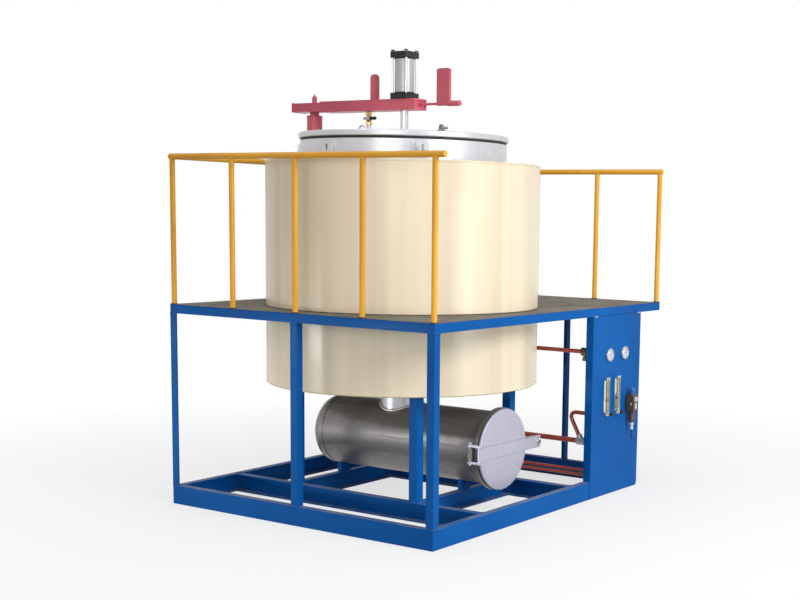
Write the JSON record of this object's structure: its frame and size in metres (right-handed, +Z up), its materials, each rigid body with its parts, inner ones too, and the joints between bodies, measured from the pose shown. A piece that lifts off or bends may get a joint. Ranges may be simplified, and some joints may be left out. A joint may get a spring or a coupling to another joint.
{
  "type": "pit cleaning furnace",
  "caption": "Round pit furnace standing in a railed steel platform, with a swinging lid lift, a waste tank below and a control panel.",
  "frame": {"origin": "on the floor, at the middle of the whole object's box", "axes": "+Z up, -Y the front with the tank door and the control panel, +X to the right seen from the front"},
  "size_m": [2.56, 2.0773, 2.7919],
  "materials": {
    "aluminium": "satin",
    "black_cap": "satin black",
    "black_rubber": "matt",
    "blue_paint": "gloss enamel",
    "brass": "satin",
    "chrome": "polished",
    "clear_plastic": "clear, yellowed",
    "cream_paint": "gloss enamel",
    "deck_paint": "dull, scuffed",
    "door_steel": "ground",
    "fibre": "ceramic fibre",
    "heat_alloy": "oxidised",
    "pipe_paint": "red primer",
    "red_paint": "enamel",
    "regulator_metal": "dark coat",
    "stainless": "brushed",
    "tank_steel": "dark mill finish",
    "white_dial": "white",
    "yellow_paint": "gloss enamel"
  },
  "bodies": {
    "frame": {"base_cross_back": "blue_paint", "base_cross_front": "blue_paint", "base_frame": "blue_paint", "base_joist_left": "blue_paint", "base_joist_right": "blue_paint", "collar": "stainless", "control_panel": "blue_paint", "deck_frame": "blue_paint", "deck_joist": "blue_paint", "deck_plate": "deck_paint", "door_seal": "black_rubber", "drain_neck": "stainless", "flowmeter_left": "clear_plastic", "flowmeter_right": "clear_plastic", "furnace_leg_back_left": "blue_paint", "furnace_leg_back_right": "blue_paint", "furnace_leg_front_left": "blue_paint", "furnace_leg_front_right": "blue_paint", "furnace_pipe": "pipe_paint", "furnace_shell": "cream_paint", "gauge_left": "white_dial", "gauge_right": "white_dial", "heater": "heat_alloy", "hinge_pin": "chrome", "insulation": "fibre", "lid_seal": "black_rubber", "pivot_column": "red_paint", "post_back_left": "blue_paint", "post_back_right": "blue_paint", "post_front_left": "blue_paint", "post_front_right": "blue_paint", "post_mid_left": "blue_paint", "post_mid_right": "blue_paint", "railing_back": "yellow_paint", "railing_left": "yellow_paint", "railing_right": "yellow_paint", "regulator": "regulator_metal", "retort": "stainless", "shell_top_plate": "cream_paint", "tank_pipe": "pipe_paint", "waste_tank": "tank_steel", "water_pipe_high": "pipe_paint", "water_pipe_low": "pipe_paint"},
    "arm": {"lift_arm": "red_paint", "cylinder_base": "black_cap", "cylinder_barrel": "aluminium", "cylinder_head": "black_cap"},
    "lid": {"furnace_lid": "stainless", "lid_lining": "fibre", "relief_valve": "brass", "purge_valve": "brass", "piston_rod": "chrome"},
    "purge_lever": {"purge_lever": "black_cap"},
    "lock_lever": {"lock_lever": "red_paint"},
    "door": {"tank_door": "door_steel", "clamp_bar": "door_steel"},
    "clamp_bolt": {"clamp_bolt": "chrome"},
    "flow_knob_left": {"flow_knob_left": "black_cap"},
    "flow_knob_right": {"flow_knob_right": "black_cap"},
    "regulator_knob": {"regulator_knob": "black_cap"}
  },
  "joints": [
    {"name": "arm_swing", "type": "hinge", "parent": "frame", "child": "arm", "pos_m": [-0.28, 0.7738, 2.4635], "axis": [0, 0, 1], "range_deg": [-95, 95]},
    {"name": "lid_lift", "type": "slide", "parent": "arm", "child": "lid", "axis": [0, 0, 1], "range_m": [0, 0.11]},
    {"name": "purge_lever_turn", "type": "hinge", "parent": "lid", "child": "purge_lever", "pos_m": [-0.1658, 0.4508, 2.3989], "axis": [-1, 0, 0], "range_deg": [0, 90]},
    {"name": "lock_lever_turn", "type": "hinge", "parent": "arm", "child": "lock_lever", "pos_m": [-0.28, -0.2142, 2.4635], "axis": [0, 1, 0], "range_deg": [0, 90]},
    {"name": "tank_door_swing", "type": "hinge", "parent": "frame", "child": "door", "pos_m": [-0.548, -0.6792, 0.398], "axis": [0, 0, -1], "range_deg": [0, 110]},
    {"name": "clamp_bolt_turn", "type": "hinge", "parent": "door", "child": "clamp_bolt", "pos_m": [0.09, -0.7504, 0.398], "axis": [0, -1, 0], "continuous": true},
    {"name": "flow_knob_left_turn", "type": "hinge", "parent": "frame", "child": "flow_knob_left", "pos_m": [0.552, -0.9871, 0.541], "axis": [0, -1, 0], "range_deg": [0, 270]},
    {"name": "flow_knob_right_turn", "type": "hinge", "parent": "frame", "child": "flow_knob_right", "pos_m": [0.692, -0.9871, 0.541], "axis": [0, -1, 0], "range_deg": [0, 270]},
    {"name": "regulator_knob_turn", "type": "hinge", "parent": "frame", "child": "regulator_knob", "pos_m": [0.838, -1.00765, 0.6453], "axis": [0, 0, 1], "range_deg": [-150, 150]}
  ]
}
